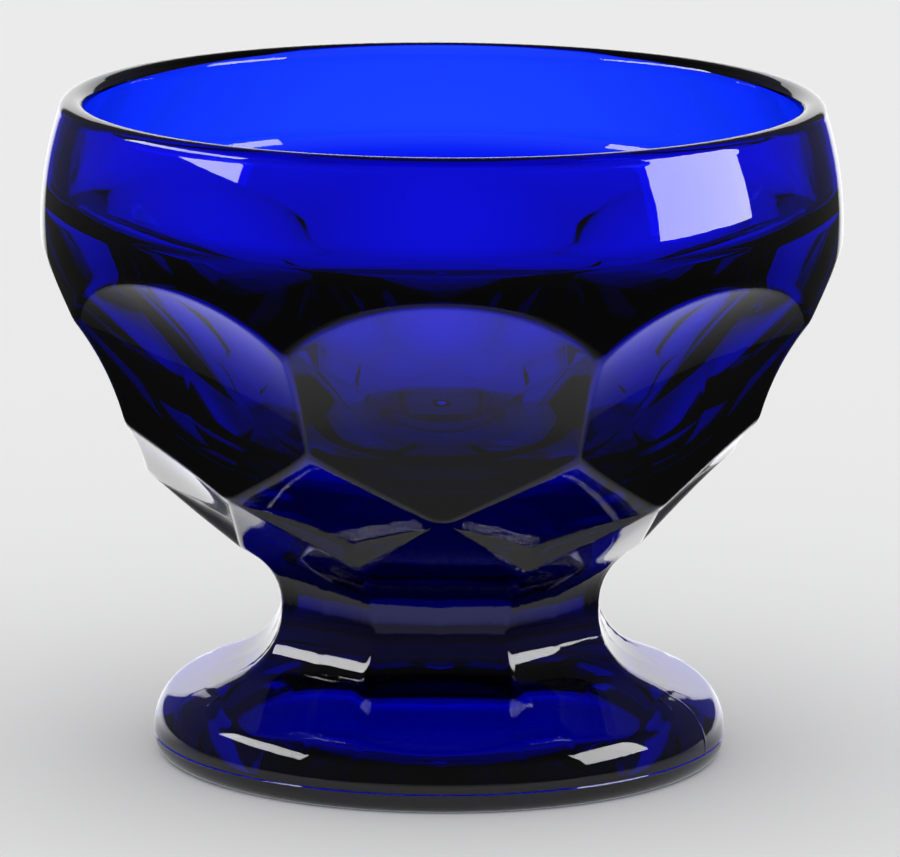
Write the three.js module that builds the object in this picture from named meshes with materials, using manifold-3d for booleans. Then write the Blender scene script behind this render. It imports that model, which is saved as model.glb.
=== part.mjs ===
// A low footed sherbet glass of pressed blue glass: bowl, stem and foot.
// Millimetres, +Z up. The origin is on the table, under the middle of the glass.
// The glass is a turned blank, hollow above and below. Rings of thumbprints, diamonds and neck
// panels are cut into it with shaped tools, in the way that the mould for such a glass is cut.

import * as THREE from 'three';
import { mergeVertices } from 'three/addons/utils/BufferGeometryUtils.js';
import Module from 'manifold-3d';

const wasm = await Module();
wasm.setup();

const degrees = THREE.MathUtils.degToRad;
const { asin, atan2, cos, hypot, PI, sin, sqrt, tan } = Math;

// Bowl: seen from the side, its outer face is one arc from the rim down to the pattern.
const height = 75;
const bowlRadius = 45.25;
const widestHeight = 61;
const bowlArcRadius = 40;
const lipRound = 1.4;

// Cavity: a wall as thick as the band's, a soft corner, a wall that leans inwards and a round bottom.
const bandWall = 2.8;
const cavityCornerHeight = 65.5;
const cavityCornerRadius = 5;
const cavityLean = degrees(36);
const cavityBottomRadius = 20;
const cavityFloor = 34.5;

// Pattern: thumbprints reach from archHeight down to points, and diamonds lie between the points.
// Two narrow facets, from facetTop to facetBottom half way between the points, end each diamond.
const panelCount = 8;
const archHeight = 59.2;
const pointHeight = 32.8;
const pointRadius = 33.4;
const thumbWheelRadius = 37.4;
const thumbWheelCrown = 120;
const diamondTopHeight = 41;
const diamondTopCut = 1.2;
const facetTop = 28.4;
const facetBottom = 25.2;

// Neck: flat panels from neckTop to neckBottom, that flare to the points above and over the foot.
const neckAcrossFlats = 35.8;
const neckTop = 18.3;
const neckBottom = 17.3;
const panelUpperRadius = 7;
const panelLowerRadius = 7.5;
const panelLowerLean = degrees(67);
const panelPointCut = 0.4;

// The blank's neck before it is cut.
const neckBlankRadius = 23.5;
const neckBlankTop = 23;
const neckBlankBottom = 13;

// Foot: a disc with a round edge above its parting line, and a domed hollow in a standing ring.
const footRadius = 32.5;
const footShoulderHeight = 8.8;
const footRound = 6;
const footShoulderLean = degrees(15);
const partingHeight = 2.3;
const standingOuterRadius = 31;
const standingInnerRadius = 24.5;
const undersideDepth = 8;

// Where the three members of the glass meet.
const stemTop = 25;
const stemBottom = 13;

// Flat steps round the glass, round a thumbprint wheel and along a short or a long curve.
const turnSteps = 80;
const wheelSteps = 60;
const shortSteps = 5;
const longSteps = 8;

// How far a tool reaches past what it cuts.
const toolSlack = 6;

const halfPitch = PI / panelCount;

// Radius of the bowl's outer arc at a height.
function bowlArcAt(z) {
  return bowlRadius - bowlArcRadius + sqrt(bowlArcRadius ** 2 - (z - widestHeight) ** 2);
}

// A neck panel's upper flare ends just inside the thumbprint's point, and leaves the hollow curve at
// a tangent. These are the flare's end and its lean.
const flareTopRadius = pointRadius - panelPointCut;
const flareSpread = flareTopRadius - neckAcrossFlats / 2 - panelUpperRadius;
const flareRise = pointHeight - neckTop;
const panelUpperLean = atan2(flareSpread, flareRise) + asin(panelUpperRadius / hypot(flareSpread, flareRise));

// Points of an ellipse about (r, z), between two angles counted from outwards to upwards.
function curve(r, z, wide, high, from, to, steps) {
  const points = [];
  for (let i = 0; i <= steps; i += 1) {
    const angle = from + ((to - from) * i) / steps;
    points.push(new THREE.Vector2(r + wide * cos(angle), z + high * sin(angle)));
  }
  return points;
}

function point(r, z) {
  return new THREE.Vector2(r, z);
}

// The foot's outline from the middle of its hollow underside, round its edge and up to the neck.
function footOutline() {
  const domeRadius = (standingInnerRadius ** 2 + undersideDepth ** 2) / (2 * undersideDepth);
  const domeEdge = asin(standingInnerRadius / domeRadius);
  const shoulderEnd = PI / 2 - footShoulderLean;
  return [
    ...curve(0, undersideDepth - domeRadius, domeRadius, domeRadius, PI / 2, PI / 2 - domeEdge, shortSteps),
    ...curve(standingOuterRadius, partingHeight, footRadius - standingOuterRadius, partingHeight, -PI / 2, 0,
      shortSteps),
    ...curve(footRadius - footRound, footShoulderHeight - footRound, footRound, footRound, 0, shoulderEnd,
      longSteps),
    point(neckBlankRadius, neckBlankBottom),
  ];
}

// The cavity's outline from the lip down the band, round the corner, down the wall and to the middle.
function cavityOutline() {
  const bandArc = bowlArcRadius - bandWall;
  const bandCentre = bowlRadius - bowlArcRadius;
  const angleAt = (z) => asin((z - widestHeight) / bandArc);
  const cornerAngle = angleAt(cavityCornerHeight);
  const cornerCentre = point(
    bandCentre + (bandArc - cavityCornerRadius) * cos(cornerAngle),
    widestHeight + (bandArc - cavityCornerRadius) * sin(cornerAngle),
  );
  const wallTop = point(
    cornerCentre.x + cavityCornerRadius * cos(cavityLean),
    cornerCentre.y - cavityCornerRadius * sin(cavityLean),
  );
  const wallDrop = wallTop.y - cavityFloor - cavityBottomRadius * (1 - sin(cavityLean));
  const bottomCentre = wallTop.x - wallDrop * tan(cavityLean) - cavityBottomRadius * cos(cavityLean);
  return [
    ...curve(bandCentre, widestHeight, bandArc, bandArc, angleAt(height - lipRound), cornerAngle, shortSteps),
    ...curve(cornerCentre.x, cornerCentre.y, cavityCornerRadius, cavityCornerRadius, cornerAngle, -cavityLean,
      shortSteps).slice(1),
    ...curve(bottomCentre, cavityFloor + cavityBottomRadius, cavityBottomRadius, cavityBottomRadius, -cavityLean,
      -PI / 2, longSteps),
    point(0, cavityFloor),
  ];
}

// The bowl's outline from the top of the neck, up the outside, over the lip and down the cavity.
function bowlOutline() {
  const lipHeight = height - lipRound;
  const outerAngle = (z) => asin((z - widestHeight) / bowlArcRadius);
  const cavity = cavityOutline();
  return [
    point(neckBlankRadius, neckBlankTop),
    ...curve(bowlRadius - bowlArcRadius, widestHeight, bowlArcRadius, bowlArcRadius,
      outerAngle(pointHeight), outerAngle(lipHeight), 2 * longSteps),
    ...curve(bowlArcAt(lipHeight) - lipRound, lipHeight, lipRound, lipRound, 0, PI / 2, shortSteps).slice(1),
    ...curve(cavity[0].x + lipRound, lipHeight, lipRound, lipRound, PI / 2, PI, shortSteps),
    ...cavity.slice(1),
  ];
}

// A three.js geometry as a solid that can be cut.
function toSolid(geometry) {
  geometry.deleteAttribute('normal');
  geometry.deleteAttribute('uv');
  const merged = mergeVertices(geometry, 1e-4);
  const corners = merged.index.array;
  const triangles = [];
  for (let i = 0; i < corners.length; i += 3) {
    const [a, b, c] = [corners[i], corners[i + 1], corners[i + 2]];
    if (a !== b && b !== c && c !== a) {
      triangles.push(a, b, c);
    }
  }
  return new wasm.Manifold(new wasm.Mesh({
    numProp: 3,
    vertProperties: new Float32Array(merged.attributes.position.array),
    triVerts: new Uint32Array(triangles),
  }));
}

// A solid as a named three.js mesh with flat facets.
function toMesh(name, solid, material) {
  const cut = solid.getMesh();
  const geometry = new THREE.BufferGeometry();
  geometry.setAttribute('position', new THREE.BufferAttribute(new Float32Array(cut.vertProperties), 3));
  geometry.setIndex(new THREE.BufferAttribute(new Uint32Array(cut.triVerts), 1));
  geometry.computeVertexNormals();
  const mesh = new THREE.Mesh(geometry, material);
  mesh.name = name;
  return mesh;
}

// A solid turned about the glass's own axis, from an outline of radius and height.
function turned(outline, steps) {
  const geometry = new THREE.LatheGeometry(outline, steps);
  geometry.rotateX(PI / 2);
  return toSolid(geometry);
}

// A solid with one outline of (outwards, upwards) right across a panel, that faces -Y.
function planed(outline, width) {
  const geometry = new THREE.ExtrudeGeometry(new THREE.Shape(outline), { depth: width, bevelEnabled: false });
  geometry.translate(0, 0, -width / 2);
  geometry.rotateX(PI / 2);
  geometry.rotateZ(-PI / 2);
  return toSolid(geometry);
}

// One tool repeated round the glass, from a first azimuth in steps of a full pitch.
function ring(tool, firstAzimuth) {
  const copies = [];
  for (let i = 0; i < panelCount; i += 1) {
    copies.push(tool.rotate([0, 0, ((firstAzimuth + i * 2 * halfPitch) * 180) / PI]));
  }
  return copies;
}

// Thumbprint tool: a wheel with a crowned rim, on an axle across the panel. Its rim passes through
// the top of the arch and through the lower point.
function thumbWheel() {
  const top = point(bowlArcAt(archHeight), archHeight);
  const low = point(pointRadius, pointHeight);
  const middle = top.clone().add(low).divideScalar(2);
  const halfChord = top.distanceTo(low) / 2;
  const along = top.clone().sub(low).normalize();
  const away = sqrt(thumbWheelRadius ** 2 - halfChord ** 2);
  const axle = point(middle.x + along.y * away, middle.y - along.x * away);
  const halfWidth = bowlRadius * sin(halfPitch) + toolSlack;
  const rim = (across) => thumbWheelRadius - thumbWheelCrown + sqrt(thumbWheelCrown ** 2 - across ** 2);
  const outline = [point(0, -halfWidth)];
  for (let i = 0; i <= longSteps; i += 1) {
    const across = halfWidth * ((2 * i) / longSteps - 1);
    outline.push(point(rim(across), across));
  }
  outline.push(point(0, halfWidth));
  const geometry = new THREE.LatheGeometry(outline, wheelSteps);
  geometry.rotateZ(-PI / 2);
  geometry.translate(0, -axle.x, axle.y);
  return toSolid(geometry);
}

// Diamond tool: a flat face that leans through the points either side and under the diamond's top,
// with a narrow facet from each point to the ridge between the neck panels under it.
function diamondTool() {
  const sideReach = pointRadius * cos(halfPitch);
  const topReach = bowlArcAt(diamondTopHeight) - diamondTopCut;
  const slope = (topReach - sideReach) / (diamondTopHeight - pointHeight);
  const reachAt = (z) => sideReach + (z - pointHeight) * slope;
  const outside = bowlRadius + toolSlack;
  const top = diamondTopHeight + toolSlack;
  const block = planed([
    point(reachAt(facetBottom), facetBottom),
    point(outside, facetBottom),
    point(outside, top),
    point(reachAt(top), top),
  ], 2 * bowlRadius * sin(halfPitch));
  const panelReach = flareTopRadius - (pointHeight - facetBottom) * tan(panelUpperLean);
  const upperCorner = new THREE.Vector3(0, -reachAt(facetTop), facetTop);
  const lowerCorner = new THREE.Vector3(0, -panelReach / cos(halfPitch), facetBottom);
  const left = new THREE.Vector3(-pointRadius * sin(halfPitch), -sideReach, pointHeight);
  const right = new THREE.Vector3(-left.x, left.y, left.z);
  const facets = [
    new THREE.Plane().setFromCoplanarPoints(left, lowerCorner, upperCorner),
    new THREE.Plane().setFromCoplanarPoints(right, upperCorner, lowerCorner),
  ];
  return facets.reduce((tool, facet) => tool.trimByPlane(facet.normal.toArray(), -facet.constant), block);
}

// Neck panel tool: the flat of the neck, with a hollow curve and a straight flare above and below it.
function panelTool() {
  const flat = neckAcrossFlats / 2;
  const outside = footRadius + toolSlack;
  const upper = curve(flat + panelUpperRadius, neckTop, panelUpperRadius, panelUpperRadius,
    PI - panelUpperLean, PI, longSteps);
  const lower = curve(flat + panelLowerRadius, neckBottom, panelLowerRadius, panelLowerRadius,
    PI, PI + panelLowerLean, longSteps);
  const lowerFlare = lower[lower.length - 1];
  return planed([
    point(outside, pointHeight + (outside - flareTopRadius) / tan(panelUpperLean)),
    ...upper,
    ...lower,
    point(outside, lowerFlare.y - (outside - lowerFlare.x) / tan(panelLowerLean)),
  ], 2 * footRadius * tan(halfPitch));
}

// The part of the glass between two heights.
function slice(glass, from, to) {
  const reach = bowlRadius + toolSlack;
  return glass.intersect(turned([point(0, from), point(reach, from), point(reach, to), point(0, to)], panelCount));
}

function glassMaterial() {
  return new THREE.MeshStandardMaterial({ color: 0x1410b4, roughness: 0.05, metalness: 0 });
}

const blank = turned([...footOutline(), ...bowlOutline()], turnSteps);
const cuts = [
  ...ring(thumbWheel(), 0),
  ...ring(diamondTool(), halfPitch),
  ...ring(panelTool(), 0),
];
const glass = cuts.reduce((left, tool) => left.subtract(tool), blank);

const sherbetGlass = new THREE.Group();
sherbetGlass.add(
  toMesh('bowl', slice(glass, stemTop, height + toolSlack), glassMaterial()),
  toMesh('stem', slice(glass, stemBottom, stemTop), glassMaterial()),
  toMesh('foot', slice(glass, -toolSlack, stemBottom), glassMaterial()),
);

export default sherbetGlass;
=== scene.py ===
"""A low footed sherbet glass of pressed cobalt-blue glass, on a pale studio floor."""

import math

import bpy
import numpy as np
from mathutils import Matrix, Vector


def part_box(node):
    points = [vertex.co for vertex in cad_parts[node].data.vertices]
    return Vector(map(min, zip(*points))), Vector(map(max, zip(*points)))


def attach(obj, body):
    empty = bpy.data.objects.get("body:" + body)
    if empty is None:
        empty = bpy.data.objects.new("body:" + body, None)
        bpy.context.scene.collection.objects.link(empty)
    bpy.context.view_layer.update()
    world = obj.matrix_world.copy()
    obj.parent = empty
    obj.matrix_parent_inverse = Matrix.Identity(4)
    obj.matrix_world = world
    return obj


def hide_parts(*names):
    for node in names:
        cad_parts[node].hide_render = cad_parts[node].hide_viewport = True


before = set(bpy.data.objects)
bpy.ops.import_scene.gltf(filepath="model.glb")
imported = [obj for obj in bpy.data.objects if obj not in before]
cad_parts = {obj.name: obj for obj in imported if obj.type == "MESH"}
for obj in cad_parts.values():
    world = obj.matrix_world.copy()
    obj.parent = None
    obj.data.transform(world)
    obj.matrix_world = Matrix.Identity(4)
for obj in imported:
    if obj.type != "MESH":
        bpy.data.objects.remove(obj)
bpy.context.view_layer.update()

# The camera
# It looks at the front of the glass from a little above, through a long lens, as a catalogue
# photograph is taken. One thumbprint and one neck panel face it.

IMAGE_WIDTH = 900
FOCAL_PIXELS = 7879
CAMERA_BACK = 0.876
CAMERA_HEIGHT = 0.2127
CAMERA_PITCH = math.radians(11.34)
CAMERA_YAW = math.radians(0.068)
CAMERA_ROLL = math.radians(0.352)

camera_data = bpy.data.cameras.new("camera")
camera_data.sensor_fit = "HORIZONTAL"
camera_data.sensor_width = 36
camera_data.lens = camera_data.sensor_width * FOCAL_PIXELS / IMAGE_WIDTH
camera = bpy.data.objects.new("camera", camera_data)
bpy.context.scene.collection.objects.link(camera)
camera.matrix_world = (
    Matrix.Translation((0, -CAMERA_BACK, CAMERA_HEIGHT))
    @ Matrix.Rotation(-CAMERA_YAW, 4, "Z")
    @ Matrix.Rotation(math.pi / 2 - CAMERA_PITCH, 4, "X")
    @ Matrix.Rotation(CAMERA_ROLL, 4, "Z")
)
bpy.context.scene.camera = camera
bpy.context.scene.view_settings.view_transform = "Standard"


# The glass
# One piece of pressed glass: bowl, neck and foot come out of the mould together, and the rim is
# then fire-polished. Its outside is a turned blank with rings of thumbprints, diamonds and neck
# panels cut into it, worked out here in millimetres along rays that run in from outside.

MM = 0.001
bowl_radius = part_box("bowl")[1].x / MM
glass_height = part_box("bowl")[1].z / MM
foot_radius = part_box("foot")[1].x / MM

PANELS = 8
PITCH = 2 * math.pi / PANELS

BOWL_ARC = 40
WIDEST_HEIGHT = 61
BAND_WALL = 2.8
LIP_ROUND = 1.4

POINT_HEIGHT = 32.8
POINT_RADIUS = 33.4
ARCH_HEIGHT = 59.2
WHEEL_RADIUS = 37.4
WHEEL_CROWN = 120
DIAMOND_TOP = 41
DIAMOND_DEPTH = 1.2
DIAMOND_REACH = 30
FACET_TOP = 28.4
FACET_BOTTOM = 25.2

NECK_FLAT = 17.9
NECK_BOTTOM = 17.3
NECK_TOP = 18.3
NECK_UPPER_ROUND = 7
NECK_LOWER_ROUND = 7.5
PANEL_POINT_CUT = 0.4
FLARE_LEAN = math.radians(67)

FOOT_ROUND = 6
FOOT_SHOULDER = 8.8
SHOULDER_LEAN = math.radians(15)
PARTING_HEIGHT = 2.3
STANDING_OUTER = 31
STANDING_INNER = 24.5
UNDERSIDE_DEPTH = 8
FIN_REACH = 0.08
FIN_HALF = 0.07

CAVITY_CORNER = 65.5
CAVITY_CORNER_ROUND = 5
CAVITY_LEAN = math.radians(36)
CAVITY_BOTTOM_ROUND = 20
CAVITY_FLOOR = 34.5

THUMB_EDGE = 0.45
RIDGE_EDGE = 0.5
DIAMOND_EDGE = 0.35
PANEL_EDGE = 0.4
SCALLOP_EDGE = 0.2
WELL_INSIDE = -99.0


def smooth_max(a, b, soft):
    """The larger of two distances, with the edge where they are alike rounded over."""
    near = np.maximum(soft - np.abs(a - b), 0) / soft
    return np.maximum(a, b) + near * near * soft / 4


band_centre = (bowl_radius - BOWL_ARC, WIDEST_HEIGHT)
edge_centre = (foot_radius - FOOT_ROUND, FOOT_SHOULDER - FOOT_ROUND)


def bowl_at(z):
    """Radius of the bowl's outer arc at a height."""
    return band_centre[0] + math.sqrt(BOWL_ARC ** 2 - (z - WIDEST_HEIGHT) ** 2)


def tangent_point(centre, radius, angle):
    """The point of a circle that faces an angle, counted in radians from outwards to upwards."""
    return np.array([centre[0] + radius * math.cos(angle), centre[1] + radius * math.sin(angle)])


# Each of the next functions says how far a point lies outside one face of the glass.


def past_bowl(r, z):
    arc = np.hypot(r - band_centre[0], z - band_centre[1]) - BOWL_ARC
    return np.minimum(arc, z - FACET_TOP)


def past_foot(r, z):
    shoulder_r, shoulder_z = tangent_point(edge_centre, FOOT_ROUND, math.pi / 2 - SHOULDER_LEAN)
    slope = ((r - shoulder_r) + (z - shoulder_z)) * math.sqrt(0.5)
    edge = np.hypot(r - edge_centre[0], z - edge_centre[1]) - FOOT_ROUND
    return np.where(r < shoulder_r, slope, edge)


arch = np.array([bowl_at(ARCH_HEIGHT), ARCH_HEIGHT])
tip = np.array([POINT_RADIUS, POINT_HEIGHT])
chord = arch - tip
half_chord = np.hypot(*chord) / 2
axle_away = math.sqrt(WHEEL_RADIUS ** 2 - half_chord ** 2)
axle = (arch + tip) / 2 + np.array([chord[1], -chord[0]]) / (2 * half_chord) * axle_away


def past_thumbprint(r, azimuth, z):
    """Past the crowned wheel that the thumbprint is ground with in the mould."""
    across = r * np.sin(azimuth)
    reach = WHEEL_RADIUS - WHEEL_CROWN + np.sqrt(WHEEL_CROWN ** 2 - across ** 2)
    return reach - np.hypot(r * np.cos(azimuth) - axle[0], z - axle[1])


def past_hollow(out, along, hollow, lean):
    """Past a hollow curve that leaves the neck's flat and turns into a straight flare at a lean."""
    local = out - NECK_FLAT - hollow
    curve = hollow - np.hypot(local, along)
    flare = local * math.cos(lean) - along * math.sin(lean) + hollow
    return np.where(np.arctan2(along, -local) < lean, curve, flare)


rise = POINT_HEIGHT - NECK_TOP
spread = POINT_RADIUS - PANEL_POINT_CUT - NECK_FLAT - NECK_UPPER_ROUND
upper_lean = math.atan2(spread, rise) + math.asin(NECK_UPPER_ROUND / math.hypot(spread, rise))


def past_panel(r, azimuth, z):
    """Past the neck's flat, its flare to the thumbprint's point and its flare over the foot."""
    out = r * np.cos(azimuth)
    upper = past_hollow(out, np.maximum(z - NECK_TOP, 0), NECK_UPPER_ROUND, upper_lean)
    lower = past_hollow(out, np.maximum(NECK_BOTTOM - z, 0), NECK_LOWER_ROUND, FLARE_LEAN)
    return np.where(z > NECK_BOTTOM, upper, lower)


diamond_hollow = POINT_RADIUS * math.cos(PITCH / 2) - DIAMOND_REACH
diamond_spread = bowl_at(DIAMOND_TOP) - DIAMOND_DEPTH - DIAMOND_REACH
diamond_lean = math.atan2(diamond_spread, DIAMOND_TOP - POINT_HEIGHT)


def under_corner(out, z):
    """A point half way between two thumbprints, in the frame of the one beside it."""
    return np.array([out * math.cos(PITCH / 2), out * math.sin(PITCH / 2), z])


facet_reach = DIAMOND_REACH + (FACET_TOP - POINT_HEIGHT) * math.tan(diamond_lean)
facet_top = under_corner(facet_reach, FACET_TOP)
panel_reach = POINT_RADIUS - PANEL_POINT_CUT + (FACET_BOTTOM - POINT_HEIGHT) * math.tan(upper_lean)
facet_bottom = under_corner(panel_reach / math.cos(PITCH / 2), FACET_BOTTOM)
facet_point = np.array([POINT_RADIUS, 0, POINT_HEIGHT])
facet_normal = np.cross(facet_bottom - facet_point, facet_top - facet_point)
facet_normal /= np.linalg.norm(facet_normal)


def past_facet(r, azimuth, z):
    """Past the plane through a thumbprint's point and both ends of the edge under the diamond."""
    place = [r * np.cos(azimuth), r * np.sin(azimuth), z]
    return sum(n * (value - start) for n, value, start in zip(facet_normal, place, facet_point))


def past_diamond(r, azimuth, z):
    """Past the diamond's shallow hollow and both of its narrow facets, down to where these end."""
    ridge = PITCH / 2
    out = r * np.cos(azimuth) - DIAMOND_REACH - diamond_hollow * (azimuth / ridge) ** 2
    face = out * math.cos(diamond_lean) - (z - POINT_HEIGHT) * math.sin(diamond_lean)
    facets = np.minimum(past_facet(r, ridge - azimuth, z), past_facet(r, ridge + azimuth, z))
    return np.minimum(np.minimum(face, facets), z - FACET_BOTTOM)


def faces(r, azimuth, z):
    """How far outside each kind of face a point lies, from the plain band down to the foot."""
    bowl = z > NECK_BOTTOM
    ridge = PITCH / 2
    thumbs = [past_thumbprint(r, place, z) for place in (azimuth, PITCH - azimuth)]
    diamonds = [past_diamond(r, place, z) for place in (ridge - azimuth, ridge + azimuth)]
    panels = [past_panel(r, place, z) for place in (azimuth, PITCH - azimuth)]
    return [
        np.where(bowl, past_bowl(r, z), WELL_INSIDE),
        smooth_max(*thumbs, RIDGE_EDGE),
        np.where(bowl, smooth_max(*diamonds, DIAMOND_EDGE), WELL_INSIDE),
        smooth_max(*panels, PANEL_EDGE),
        np.where(bowl, WELL_INSIDE, past_foot(r, z)),
    ]


def outside(r, azimuth, z):
    """How far a point lies outside the glass, with every edge between its faces rounded over."""
    band, thumbs, diamonds, panels, foot = faces(r, azimuth, z)
    body = smooth_max(band, thumbs, THUMB_EDGE)
    body = smooth_max(body, diamonds, THUMB_EDGE)
    body = smooth_max(body, panels, PANEL_EDGE)
    return smooth_max(body, foot, SCALLOP_EDGE)


# Rays are cast from a plain line that runs down the outside near the surface: down the bowl's
# arc, round the neck and over the foot's edge. Beside the neck, each place has its radius, its
# height and its ray's direction in degrees, counted from outwards to upwards.

GUIDE_BOWL = 60
GUIDE_NECK = [
    (26.8, 27.8, -54),
    (22.6, 24.8, -50),
    (19.4, 21.8, -28),
    (18.9, 17.8, 0),
    (20.2, 13.2, 30),
    (23.6, 10.4, 52),
]
GUIDE_FOOT = 16
RAY_IN = -9.0
RAY_OUT = 3.0
RAY_HALVINGS = 36

lip_base = glass_height - LIP_ROUND
lip_angle = math.asin((lip_base - WIDEST_HEIGHT) / BOWL_ARC)
point_angle = math.asin((POINT_HEIGHT - WIDEST_HEIGHT) / BOWL_ARC)
arc_angles = np.linspace(lip_angle, point_angle, GUIDE_BOWL)
parting_angle = math.asin((PARTING_HEIGHT - FOOT_SHOULDER + FOOT_ROUND) / FOOT_ROUND)
foot_angles = np.linspace(math.pi / 2 - SHOULDER_LEAN, parting_angle, GUIDE_FOOT)
guide = np.array(
    [(*tangent_point(band_centre, BOWL_ARC, a), a) for a in arc_angles]
    + [(r, z, math.radians(a)) for r, z, a in GUIDE_NECK]
    + [(*tangent_point(edge_centre, FOOT_ROUND, a), a) for a in foot_angles]
)
guide_length = np.concatenate([[0], np.cumsum(np.hypot(*np.diff(guide[:, :2], axis=0).T))])


def cast(length, azimuth, side):
    """Where the glass begins along the ray at each length of the guide line, at each azimuth."""
    r0, z0, angle = [np.interp(length, guide_length, guide[:, i]) for i in range(3)]
    dr, dz = np.cos(angle), np.sin(angle)
    inner = np.full(length.shape, RAY_IN)
    outer = np.full(length.shape, RAY_OUT)
    for _ in range(RAY_HALVINGS):
        middle = (inner + outer) / 2
        out = side(r0 + middle * dr, azimuth, z0 + middle * dz) > 0
        outer = np.where(out, middle, outer)
        inner = np.where(out, inner, middle)
    return r0 + inner * dr, z0 + inner * dz


# Rows of the mesh follow the edges: between two edges they lie closest together beside them.

FACE_ROWS = [16, 28, 22, 34, 14]
ROW_LEAST = 0.01
SEARCH_STEP = 0.05
EDGE_PULL = 0.82


def crowded(count):
    """Shares from 0 to 1 that lie closer together at both ends."""
    even = np.linspace(0, 1, count + 1)
    return even - EDGE_PULL * np.sin(2 * math.pi * even) / (2 * math.pi)


def outer_rows(offsets):
    """Radius and height of the outer surface, a row each from the lip down to the parting line."""
    search = np.arange(0, guide_length[-1], SEARCH_STEP)
    length, azimuth = np.meshgrid(search, offsets, indexing="ij")
    r, z = cast(length, azimuth, lambda *p: np.max(faces(*p), axis=0))
    face = np.argmax(faces(r, azimuth, z), axis=0)
    rows = []
    start = np.zeros(len(offsets))
    for kind, count in enumerate(FACE_ROWS):
        beyond = face > kind
        end = np.where(beyond.any(axis=0), search[np.argmax(beyond, axis=0)], guide_length[-1])
        end = np.maximum(end, start + ROW_LEAST * count)
        shares = crowded(count) if kind == 0 else crowded(count)[1:]
        rows.append(start + shares[:, None] * (end - start))
        start = end
    length = np.concatenate(rows)
    return cast(length, np.broadcast_to(offsets, length.shape), outside)


FLOOR_STEPS = 6
BOTTOM_STEPS = 20
WALL_STEPS = 12
CORNER_STEPS = 12
BAND_STEPS = 10
LIP_STEPS = 8
EDGE_STEPS = 8
RING_STEPS = 4
DOME_STEPS = 14


def arc_points(r, z, wide, high, start, end, count):
    """Points of an ellipse, by angles counted in degrees from outwards to upwards."""
    angles = np.radians(np.linspace(start, end, count + 1))
    return np.stack([r + wide * np.cos(angles), z + high * np.sin(angles)], axis=1)


def cavity_rows():
    """The cavity's outline from the floor up: a round bottom, a leaning wall and the band's curve."""
    band_arc = BOWL_ARC - BAND_WALL
    corner_angle = math.asin((CAVITY_CORNER - WIDEST_HEIGHT) / band_arc)
    mouth_angle = math.asin((lip_base - WIDEST_HEIGHT) / band_arc)
    corner_centre = tangent_point(band_centre, band_arc - CAVITY_CORNER_ROUND, corner_angle)
    wall_top = tangent_point(corner_centre, CAVITY_CORNER_ROUND, -CAVITY_LEAN)
    bottom_top = CAVITY_FLOOR + CAVITY_BOTTOM_ROUND * (1 - math.sin(CAVITY_LEAN))
    wall_foot_r = wall_top[0] - (wall_top[1] - bottom_top) * math.tan(CAVITY_LEAN)
    wall_foot = np.array([wall_foot_r, bottom_top])
    floor_r = wall_foot_r - CAVITY_BOTTOM_ROUND * math.cos(CAVITY_LEAN)
    bottom_centre = (floor_r, CAVITY_FLOOR + CAVITY_BOTTOM_ROUND)
    lean, corner, mouth = np.degrees([CAVITY_LEAN, corner_angle, mouth_angle])
    shares = np.linspace(0, 1, WALL_STEPS + 1)[:, None]
    return np.concatenate([
        [(r, CAVITY_FLOOR) for r in np.linspace(0, floor_r, FLOOR_STEPS + 1)[1:-1]],
        arc_points(*bottom_centre, CAVITY_BOTTOM_ROUND, CAVITY_BOTTOM_ROUND, -90, -lean, BOTTOM_STEPS),
        (wall_foot + shares * (wall_top - wall_foot))[1:-1],
        arc_points(*corner_centre, CAVITY_CORNER_ROUND, CAVITY_CORNER_ROUND, -lean, corner, CORNER_STEPS),
        arc_points(*band_centre, band_arc, band_arc, corner, mouth, BAND_STEPS)[1:],
    ])


cavity = cavity_rows()
lip_outer = arc_points(bowl_at(lip_base) - LIP_ROUND, lip_base, LIP_ROUND, LIP_ROUND, 90, 0, LIP_STEPS)
lip_inner = arc_points(cavity[-1, 0] + LIP_ROUND, lip_base, LIP_ROUND, LIP_ROUND, 180, 90, LIP_STEPS)
inside_rows = np.concatenate([cavity[:-1], lip_inner, lip_outer[:-1]])

dome_radius = (STANDING_INNER ** 2 + UNDERSIDE_DEPTH ** 2) / (2 * UNDERSIDE_DEPTH)
dome_edge = math.degrees(math.acos(STANDING_INNER / dome_radius))
fin = [
    (foot_radius + FIN_REACH, PARTING_HEIGHT - FIN_HALF),
    (foot_radius + FIN_REACH, PARTING_HEIGHT - 2 * FIN_HALF),
    (foot_radius, PARTING_HEIGHT - 3 * FIN_HALF),
]
edge_height = PARTING_HEIGHT - 4 * FIN_HALF
edge_reach = foot_radius - STANDING_OUTER
lower_edge = arc_points(STANDING_OUTER, edge_height, edge_reach, edge_height, 0, -90, EDGE_STEPS)
ring = [(r, 0) for r in np.linspace(STANDING_OUTER, STANDING_INNER, RING_STEPS + 1)[1:]]
dome_centre = (0, UNDERSIDE_DEPTH - dome_radius)
dome = arc_points(*dome_centre, dome_radius, dome_radius, dome_edge, 90, DOME_STEPS)[1:-1]
under_rows = np.concatenate([fin, lower_edge, ring, dome])

# Columns of the mesh stand closest together beside the ridges, half way between two panels.

RIDGE_OFFSETS = [0, 0.22, 0.5, 0.9, 1.5, 2.3, 3.3, 4.4, 5.5, 6.7, 7.9, 9.1,
                 10.3, 11.5, 12.7, 13.9, 15.1, 16.3, 17.5, 18.8, 20.1, 21.3, 22.5]
offsets = PITCH / 2 - np.radians(RIDGE_OFFSETS)[::-1]


def turned_rows(profile):
    """Radius and height of rows that are the same all round."""
    return [np.repeat(profile[:, i][:, None], len(offsets), axis=1) for i in range(2)]


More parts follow.
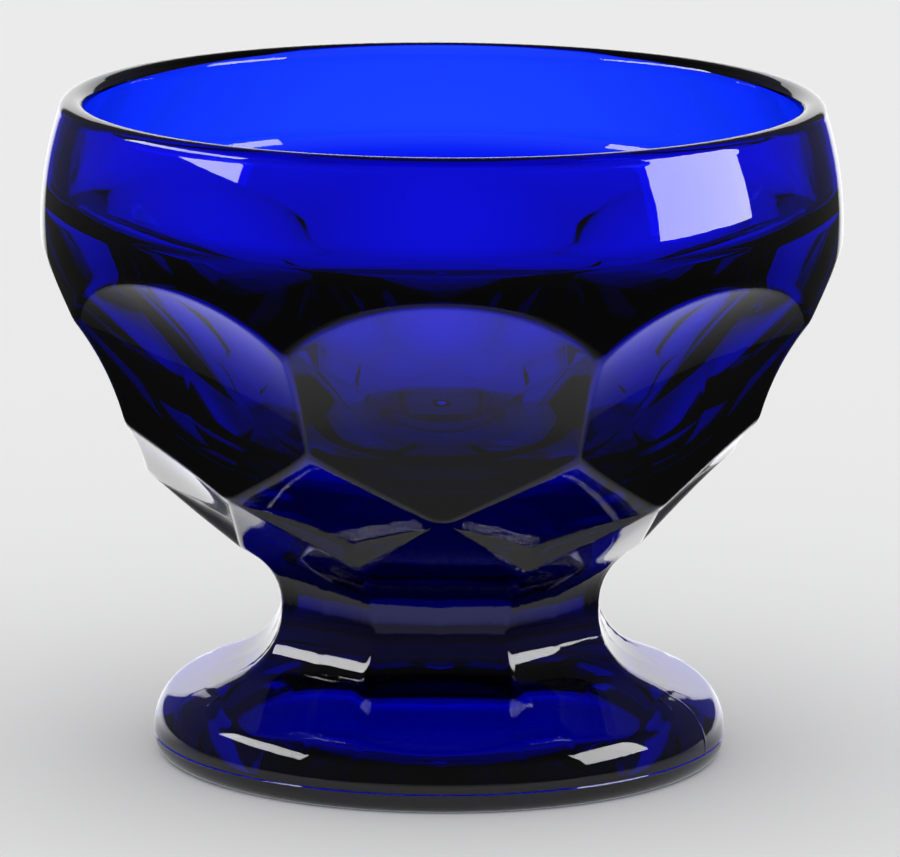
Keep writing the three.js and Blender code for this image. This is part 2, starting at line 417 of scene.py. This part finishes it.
inside_r, inside_z = turned_rows(inside_rows)
outer_r, outer_z = outer_rows(offsets)
under_r, under_z = turned_rows(under_rows)
half_r = np.concatenate([inside_r, outer_r, under_r])
half_z = np.concatenate([inside_z, outer_z, under_z])

pitch_r = np.concatenate([half_r[:, :0:-1], half_r[:, :-1]], axis=1)
pitch_z = np.concatenate([half_z[:, :0:-1], half_z[:, :-1]], axis=1)
pitch_azimuth = np.concatenate([-offsets[:0:-1], offsets[:-1]])
all_r = np.tile(pitch_r, PANELS)
all_z = np.tile(pitch_z, PANELS)
azimuth = np.concatenate([pitch_azimuth + PITCH * i for i in range(PANELS)])

# The mould is cut by hand, so each panel's point stands a little high or low, in millimetres, and a
# little to one side, in degrees. The lists run round from the front panel to the right. Two opposite
# ridges carry a fine seam.

POINT_LIFTS = [0, -0.3, 1.6, 0.6, 0, -0.3, -1.1, 0.5]
POINT_TURNS = [0.4, 1.7, 0.8, 0, -0.4, 0, 0, 0]
WANDER_FROM = 10
WANDER_PEAK = 33
WANDER_TO = 62
SEAM_PLACES = [math.radians(67.5), math.radians(247.5)]
SEAM_HEIGHT = 0.09
SEAM_HALF = 0.2
SEAM_TOP = 58
SEAM_FADE = 20


def smooth_step(value, start, end):
    """A share that leaves 0 at the start and reaches 1 at the end, level at both."""
    share = np.clip((value - start) / (end - start), 0, 1)
    return share * share * (3 - 2 * share)


def round_the_glass(values):
    """A value at every column, that runs smoothly from each panel's own to the next one's."""
    panel = np.mod(azimuth / PITCH, PANELS)
    before = np.floor(panel).astype(int) % PANELS
    share = smooth_step(panel - np.floor(panel), 0, 1)
    here = np.array(values)
    return here[before] + (here[(before + 1) % PANELS] - here[before]) * share


outer = slice(len(inside_r), len(inside_r) + len(outer_r))
outer_height = all_z[outer]
upwards = smooth_step(outer_height, WANDER_FROM, WANDER_PEAK)
pull = upwards * smooth_step(outer_height, WANDER_TO, WANDER_PEAK)
for place in SEAM_PLACES:
    across = all_r[outer] * np.abs(np.angle(np.exp(1j * (azimuth - place))))
    near = np.clip(1 - across / SEAM_HALF, 0, 1)
    all_r[outer] += SEAM_HEIGHT * near * smooth_step(outer_height, SEAM_TOP, SEAM_TOP - SEAM_FADE)
all_z[outer] += round_the_glass(POINT_LIFTS) * pull
all_azimuth = np.broadcast_to(azimuth, all_r.shape).copy()
all_azimuth[outer] += np.radians(round_the_glass(POINT_TURNS)) * pull

grid = np.stack([all_r * np.sin(all_azimuth), -all_r * np.cos(all_azimuth), all_z], axis=2)


def glass_mesh(grid):
    """A closed mesh from rows of points all round, with one more point at each end of the axis."""
    row_count, column_count = grid.shape[:2]
    points = np.concatenate([grid.reshape(-1, 3), [(0, 0, CAVITY_FLOOR), (0, 0, UNDERSIDE_DEPTH)]])
    column = np.arange(column_count)
    after = (column + 1) % column_count
    quads = []
    for row in range(row_count - 1):
        upper, lower = row * column_count, (row + 1) * column_count
        quads += np.stack([upper + column, upper + after, lower + after, lower + column], axis=1).tolist()
    last = (row_count - 1) * column_count
    floor_point, under_point = len(points) - 2, len(points) - 1
    fans = [(floor_point, b, a) for a, b in zip(column.tolist(), after.tolist())]
    fans += [(under_point, last + a, last + b) for a, b in zip(column.tolist(), after.tolist())]
    mesh = bpy.data.meshes.new("glass")
    mesh.from_pydata((points * MM).tolist(), [], [f[::-1] for f in quads] + fans)
    mesh.polygons.foreach_set("use_smooth", [True] * len(mesh.polygons))
    mesh.update()
    return mesh


glass = bpy.data.objects.new("glass", glass_mesh(grid))
bpy.context.scene.collection.objects.link(glass)


class Shade:
    """A socket of a node tree. Arithmetic on it adds the Math nodes."""

    def __init__(self, tree, socket=None):
        self.tree = tree
        self.socket = socket

    def add(self, kind, settings=None, sockets=None, output=0):
        node = self.tree.nodes.new(kind)
        for name, value in (settings or {}).items():
            if name == "stops":
                set_stops(node.color_ramp, value)
            else:
                setattr(node, name, value)
        for name, value in (sockets or {}).items():
            if isinstance(value, Shade):
                self.tree.links.new(value.socket, node.inputs[name])
            else:
                node.inputs[name].default_value = value
        return Shade(self.tree, node.outputs[output] if node.outputs else None)

    def math(self, operation, a, b):
        return self.add("ShaderNodeMath", {"operation": operation}, {0: a, 1: b})

    def __add__(self, other):
        return self.math("ADD", self, other)

    def __sub__(self, other):
        return self.math("SUBTRACT", self, other)

    def __rsub__(self, other):
        return self.math("SUBTRACT", other, self)

    def __mul__(self, other):
        return self.math("MULTIPLY", self, other)


def set_stops(ramp, stops):
    while len(ramp.elements) < len(stops):
        ramp.elements.new(1)
    for element, (place, colour) in zip(ramp.elements, stops):
        element.position = place
        element.color = colour


# Cobalt glass lets blue through almost freely and takes up red and green within a few millimetres.
GLASS_IOR = 1.52
ABSORPTION_PER_METRE = 1700
ABSORPTION_COLOUR = (0.0, 0.34, 0.95, 1)
WAVE_SCALE = 160
WAVE_DEPTH = 0.00002
CHILL_SCALE = 700
CHILL_DEPTH = 0.000002
CHILL_TOP = 0.024
SPECK_SCALE = 110
SPECK_RADIUS = 0.022
SPECK_SHARE = 0.5
SPECK_DEPTH = 0.00012


def cobalt_glass():
    material = bpy.data.materials.new("cobalt_glass")
    material.use_nodes = True
    tree = material.node_tree
    tree.nodes.clear()
    start = Shade(tree)
    place = start.add("ShaderNodeTexCoord", output="Object")
    waves = start.add("ShaderNodeTexNoise", sockets={"Vector": place, "Scale": WAVE_SCALE, "Detail": 2.0})
    chill = start.add("ShaderNodeTexNoise", sockets={"Vector": place, "Scale": CHILL_SCALE, "Detail": 3.0})
    height = start.add("ShaderNodeSeparateXYZ", sockets={0: place}, output="Z")
    low = start.add("ShaderNodeMapRange", sockets={
        "Value": height, "From Min": CHILL_TOP, "From Max": CHILL_TOP / 2})
    cells = {"Vector": place, "Scale": SPECK_SCALE}
    speck_away = start.add("ShaderNodeTexVoronoi", sockets=cells, output="Distance")
    speck_kind = start.add("ShaderNodeTexVoronoi", sockets=cells, output="Color")
    chance = start.add("ShaderNodeSeparateColor", sockets={0: speck_kind}, output="Red")
    speck = start.math("LESS_THAN", speck_away, SPECK_RADIUS) * start.math("LESS_THAN", chance, SPECK_SHARE)
    relief = waves * WAVE_DEPTH + chill * low * CHILL_DEPTH - speck * SPECK_DEPTH
    bump = start.add("ShaderNodeBump", sockets={"Height": relief, "Distance": 1.0, "Strength": 1.0})
    surface = start.add("ShaderNodeBsdfPrincipled", sockets={
        "Base Color": (1, 1, 1, 1), "Roughness": 0.0, "IOR": GLASS_IOR,
        "Transmission Weight": 1.0, "Normal": bump})
    body = start.add("ShaderNodeVolumeAbsorption", sockets={
        "Color": ABSORPTION_COLOUR, "Density": ABSORPTION_PER_METRE})
    start.add("ShaderNodeOutputMaterial", sockets={"Surface": surface, "Volume": body})
    return material


glass.data.materials.append(cobalt_glass())
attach(glass, "root")
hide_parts("bowl", "stem", "foot")


# The floor
# A plain pale table top, which the camera sees all round. What shows in and through the glass is a
# narrow sheet of pale paper that sweeps up behind it. The sheet glows rather than being lit, and its
# light and shade are painted into that glow: palest behind the glass, dimmer towards the front and
# the sides, with a painted shadow where the glass stands. Its levels go with places along it, from
# front to back.

FLOOR_REACH = 6
FLOOR_COLOUR = (0.83, 0.83, 0.83, 1)

SHEET_HALF_WIDTH = 0.078
SHEET_FRONT = 0.17
SHEET_SPREAD_FROM = 0.01
SHEET_SPREAD = 0.3
SHEET_BACK = 0.4
SHEET_SWEEP = 0.15
SHEET_TOP = 0.32
SHEET_STEPS = 12
# Painted light on the glowing sheet: its peak glow, and its levels from front to back. The dip at 0, where
# the glass stands, is a painted shadow.
SHEET_PAINTED_GLOW = 1.4
SHEET_LEVELS = [(-0.075, 0.33), (-0.068, 0.5), (-0.05, 0.68), (0.0, 0.4), (0.03, 1.4)]
SHEET_DIM_FROM = 0.045
SHEET_DIM_TO = 0.25


def stage_piece(name, points, faces):
    mesh = bpy.data.meshes.new(name)
    mesh.from_pydata(points, [], faces)
    piece = bpy.data.objects.new(name, mesh)
    bpy.context.scene.collection.objects.link(piece)
    return piece


def stage_material(name):
    material = bpy.data.materials.new(name)
    material.use_nodes = True
    material.node_tree.nodes.clear()
    return material


corners = [(x * FLOOR_REACH, y * FLOOR_REACH, 0) for x, y in ((-1, -1), (1, -1), (1, 1), (-1, 1))]
floor = stage_piece("floor", corners, [(0, 1, 2, 3)])
floor_material = stage_material("floor")
top = Shade(floor_material.node_tree)
matt = top.add("ShaderNodeBsdfDiffuse", sockets={"Color": FLOOR_COLOUR})
top.add("ShaderNodeOutputMaterial", sockets={"Surface": matt})
floor.data.materials.append(floor_material)
floor.visible_glossy = False
floor.visible_transmission = False

sweep_angles = np.radians(np.linspace(0, 90, SHEET_STEPS + 1))
sheet_line = [(-SHEET_FRONT, 0), (SHEET_SPREAD_FROM, 0)] + [
    (SHEET_BACK + SHEET_SWEEP * math.sin(a), SHEET_SWEEP * (1 - math.cos(a))) for a in sweep_angles
] + [(SHEET_BACK + SHEET_SWEEP, SHEET_TOP)]
sheet_points = [(side * (SHEET_HALF_WIDTH + SHEET_SPREAD * max(y - SHEET_SPREAD_FROM, 0)), y, z)
                for y, z in sheet_line for side in (-1, 1)]
strips = [(2 * i, 2 * i + 1, 2 * i + 3, 2 * i + 2) for i in range(len(sheet_line) - 1)]
sheet = stage_piece("sheet", sheet_points, strips)
sheet_material = stage_material("sheet")
paper = Shade(sheet_material.node_tree)
sheet_place = paper.add("ShaderNodeTexCoord", output="Object")
along = paper.add("ShaderNodeSeparateXYZ", sockets={0: sheet_place}, output="Y")
across = paper.add("ShaderNodeSeparateXYZ", sockets={0: sheet_place}, output="X")
widening = paper.math("MAXIMUM", along - SHEET_SPREAD_FROM, 0) * SHEET_SPREAD
aside = paper.math("ABSOLUTE", across, 0) - widening
# The sheet's glow is painted light and shade: dimmer towards the sides, graded from front to back, with a
# painted shadow under the glass.
painted_side_shade = paper.add("ShaderNodeMapRange", sockets={
    "Value": aside, "From Min": SHEET_DIM_FROM, "From Max": SHEET_HALF_WIDTH,
    "To Min": 1.0, "To Max": SHEET_DIM_TO})
run = SHEET_BACK + SHEET_FRONT
pale = paper.add("ShaderNodeValToRGB", {"stops": [
    ((y + SHEET_FRONT) / run, (level / SHEET_PAINTED_GLOW,) * 3 + (1,)) for y, level in SHEET_LEVELS
]}, {"Fac": (along + SHEET_FRONT) * (1 / run)})
painted_glow = paper.add("ShaderNodeEmission", sockets={"Color": pale * painted_side_shade, "Strength": SHEET_PAINTED_GLOW})
paper.add("ShaderNodeOutputMaterial", sockets={"Surface": painted_glow})
sheet.data.materials.append(sheet_material)
sheet.visible_camera = False
sheet.visible_diffuse = False
sheet.visible_shadow = False


# The light
# The table is lit evenly from all round. The room that the glass mirrors is dim, darkest overhead
# and below, and a soft box stands either side of it. The room's levels go with how far up a
# direction points: 0 is straight down, 0.5 is level and 1 is straight up.

STUDIO_LIGHT = 1.0
ROOM_LEVELS = [(0.40, 0.05), (0.52, 0.10), (0.75, 0.10), (0.88, 0.04)]

world = bpy.data.worlds.new("studio")
bpy.context.scene.world = world
world.use_nodes = True
world.node_tree.nodes.clear()
sky = Shade(world.node_tree)
direction = sky.add("ShaderNodeTexCoord", output="Generated")
height_share = sky.add("ShaderNodeSeparateXYZ", sockets={0: direction}, output="Z") * 0.5 + 0.5
room = sky.add("ShaderNodeValToRGB", {"stops": [
    (height, (level,) * 3 + (1,)) for height, level in ROOM_LEVELS
]}, {"Fac": height_share})
glossy = sky.add("ShaderNodeLightPath", output="Is Glossy Ray")
through = sky.add("ShaderNodeLightPath", output="Is Transmission Ray")
by_glass = sky.math("MAXIMUM", glossy, through)
by_camera = sky.add("ShaderNodeLightPath", output="Is Camera Ray")
table = by_camera * FLOOR_COLOUR[0] + (1 - by_camera) * STUDIO_LIGHT
level = by_glass * room + (1 - by_glass) * table
background = sky.add("ShaderNodeBackground", sockets={"Color": (1, 1, 1, 1), "Strength": level})
sky.add("ShaderNodeOutputWorld", sockets={"Surface": background})

# Each soft box: azimuth in degrees from the front, distance, low edge, high edge, half width, level.
LAMP_RIGHT = (74, 0.216, 0.068, 0.168, 0.062, 9)
LAMP_LEFT = (-82, 0.30, 0.155, 0.235, 0.13, 9)


def soft_box(name, azimuth, distance, low, high, half_width, level):
    """A soft box that stands upright and faces the glass's axis."""
    data = bpy.data.lights.new(name, "AREA")
    data.shape = "RECTANGLE"
    data.size = 2 * half_width
    data.size_y = high - low
    data.energy = level * math.pi * data.size * data.size_y
    lamp = bpy.data.objects.new(name, data)
    turn = math.radians(azimuth)
    lamp.location = (distance * math.sin(turn), -distance * math.cos(turn), (low + high) / 2)
    to_axis = Vector((0, 0, lamp.location.z)) - lamp.location
    lamp.rotation_euler = to_axis.to_track_quat("-Z", "Y").to_euler()
    lamp.visible_camera = False
    lamp.visible_diffuse = False
    bpy.context.scene.collection.objects.link(lamp)


soft_box("soft_box_right", *LAMP_RIGHT)
soft_box("soft_box_left", *LAMP_LEFT)
